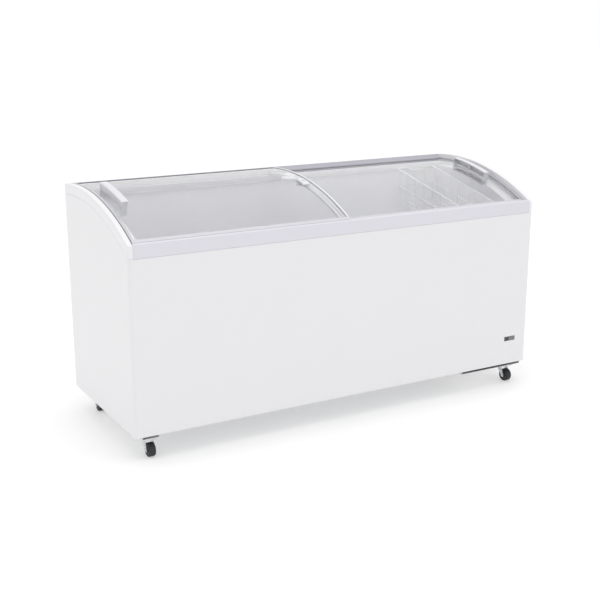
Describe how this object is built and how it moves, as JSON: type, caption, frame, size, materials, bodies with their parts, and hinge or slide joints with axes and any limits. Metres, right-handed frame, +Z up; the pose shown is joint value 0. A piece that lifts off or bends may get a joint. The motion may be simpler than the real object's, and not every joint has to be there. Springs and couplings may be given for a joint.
{
  "type": "chest freezer",
  "caption": "Long white shop chest freezer on castors, with curved glass lids that slide past each other, pull handles, a lid lock, a wire basket and a small controller at the front.",
  "frame": {"origin": "on the floor, under the middle of the closed cabinet", "axes": "+X to the right along the cabinet seen from the front, +Y from the front to the back, +Z up"},
  "size_m": [1.7, 0.62, 0.8976],
  "materials": {
    "white_enamel": "gloss",
    "frame_plastic": "satin",
    "cap_plastic": "satin",
    "zinc_sheet": "satin",
    "tub_enamel": "satin",
    "foam": "matte",
    "coil_tube": "satin",
    "clear_glass": "gloss",
    "lid_frame": "satin",
    "handle_plastic": "satin",
    "chrome": "polished",
    "coated_wire": "satin",
    "black_rubber": "matte",
    "grey_plastic": "satin",
    "display_window": "gloss",
    "button_grey": "satin",
    "black_paint": "satin",
    "black_plastic": "satin",
    "compressor_shell": "satin",
    "plain_steel": "satin",
    "copper": "satin"
  },
  "bodies": {
    "cabinet": {"outer_casing": "white_enamel", "rear_panel": "white_enamel", "base_pan": "zinc_sheet", "inner_liner": "tub_enamel", "insulation_foam": "foam", "evaporator_coil": "coil_tube", "front_rail": "frame_plastic", "rear_rail": "frame_plastic", "left_end_cap": "cap_plastic", "right_end_cap": "cap_plastic", "left_inner_panel": "frame_plastic", "right_inner_panel": "frame_plastic", "left_castor_channel": "zinc_sheet", "compressor_plate": "zinc_sheet", "castor_plate_front_left": "zinc_sheet", "castor_plate_rear_left": "zinc_sheet", "castor_plate_front_right": "zinc_sheet", "castor_plate_rear_right": "zinc_sheet", "side_grille": "grey_plastic", "service_cover": "white_enamel", "cable_gland": "black_plastic", "compressor": "compressor_shell", "condenser": "plain_steel", "fan_shroud": "black_plastic", "fan_motor": "plain_steel", "discharge_pipe": "copper", "suction_pipe": "copper", "filter_drier": "copper", "control_housing": "grey_plastic", "display_window": "display_window"},
    "left_lid": {"left_lid_glass": "clear_glass", "left_lid_front_profile": "lid_frame", "left_lid_rear_profile": "lid_frame", "left_lid_left_profile": "lid_frame", "left_lid_right_profile": "lid_frame", "left_lid_handle": "handle_plastic", "lock_housing": "handle_plastic"},
    "lid_lock": {"lock_barrel": "chrome"},
    "right_lid": {"right_lid_glass": "clear_glass", "right_lid_front_profile": "lid_frame", "right_lid_rear_profile": "lid_frame", "right_lid_left_profile": "lid_frame", "right_lid_right_profile": "lid_frame", "right_lid_handle": "handle_plastic", "right_lid_stop": "handle_plastic"},
    "basket": {"wire_basket": "coated_wire"},
    "fan": {"fan_blade": "black_plastic"},
    "set_key": {"set_button": "button_grey"},
    "defrost_key": {"defrost_button": "button_grey"},
    "fork_front_left": {"castor_fork_front_left": "zinc_sheet"},
    "wheel_front_left": {"castor_wheel_front_left": "black_rubber"},
    "fork_rear_left": {"castor_fork_rear_left": "zinc_sheet"},
    "wheel_rear_left": {"castor_wheel_rear_left": "black_rubber"},
    "fork_front_right": {"castor_fork_front_right": "zinc_sheet"},
    "wheel_front_right": {"castor_wheel_front_right": "black_rubber"},
    "fork_rear_right": {"castor_fork_rear_right": "zinc_sheet"},
    "wheel_rear_right": {"castor_wheel_rear_right": "black_rubber"}
  },
  "joints": [
    {"name": "left_lid_slide", "type": "slide", "parent": "cabinet", "child": "left_lid", "axis": [1, 0, 0], "range_m": [0, 0.755]},
    {"name": "right_lid_slide", "type": "slide", "parent": "cabinet", "child": "right_lid", "axis": [1, 0, 0], "range_m": [-0.755, 0]},
    {"name": "lock_turn", "type": "hinge", "parent": "left_lid", "child": "lid_lock", "pos_m": [-0.035, -0.0195, 0.85232], "axis": [0, 0.2002, -0.9798], "range_deg": [0, 90]},
    {"name": "basket_slide", "type": "slide", "parent": "cabinet", "child": "basket", "axis": [-1, 0, 0], "range_m": [0, 1.345]},
    {"name": "fan_spin", "type": "hinge", "parent": "cabinet", "child": "fan", "pos_m": [0.796, -0.06, 0.225], "axis": [1, 0, 0], "continuous": true},
    {"name": "set_button_press", "type": "slide", "parent": "cabinet", "child": "set_key", "axis": [0, 1, 0], "range_m": [0, 0.001], "stiffness_N_per_m": 300},
    {"name": "defrost_button_press", "type": "slide", "parent": "cabinet", "child": "defrost_key", "axis": [0, 1, 0], "range_m": [0, 0.001], "stiffness_N_per_m": 300},
    {"name": "swivel_front_left", "type": "hinge", "parent": "cabinet", "child": "fork_front_left", "pos_m": [-0.785, -0.25, 0.06], "axis": [0, 0, 1], "continuous": true},
    {"name": "roll_front_left", "type": "hinge", "parent": "fork_front_left", "child": "wheel_front_left", "pos_m": [-0.785, -0.272, 0.025], "axis": [1, 0, 0], "continuous": true},
    {"name": "swivel_rear_left", "type": "hinge", "parent": "cabinet", "child": "fork_rear_left", "pos_m": [-0.785, 0.25, 0.06], "axis": [0, 0, 1], "continuous": true},
    {"name": "roll_rear_left", "type": "hinge", "parent": "fork_rear_left", "child": "wheel_rear_left", "pos_m": [-0.785, 0.228, 0.025], "axis": [1, 0, 0], "continuous": true},
    {"name": "swivel_front_right", "type": "hinge", "parent": "cabinet", "child": "fork_front_right", "pos_m": [0.785, -0.25, 0.06], "axis": [0, 0, 1], "continuous": true},
    {"name": "roll_front_right", "type": "hinge", "parent": "fork_front_right", "child": "wheel_front_right", "pos_m": [0.785, -0.272, 0.025], "axis": [1, 0, 0], "continuous": true},
    {"name": "swivel_rear_right", "type": "hinge", "parent": "cabinet", "child": "fork_rear_right", "pos_m": [0.785, 0.25, 0.06], "axis": [0, 0, 1], "continuous": true},
    {"name": "roll_rear_right", "type": "hinge", "parent": "fork_rear_right", "child": "wheel_rear_right", "pos_m": [0.785, 0.228, 0.025], "axis": [1, 0, 0], "continuous": true}
  ]
}
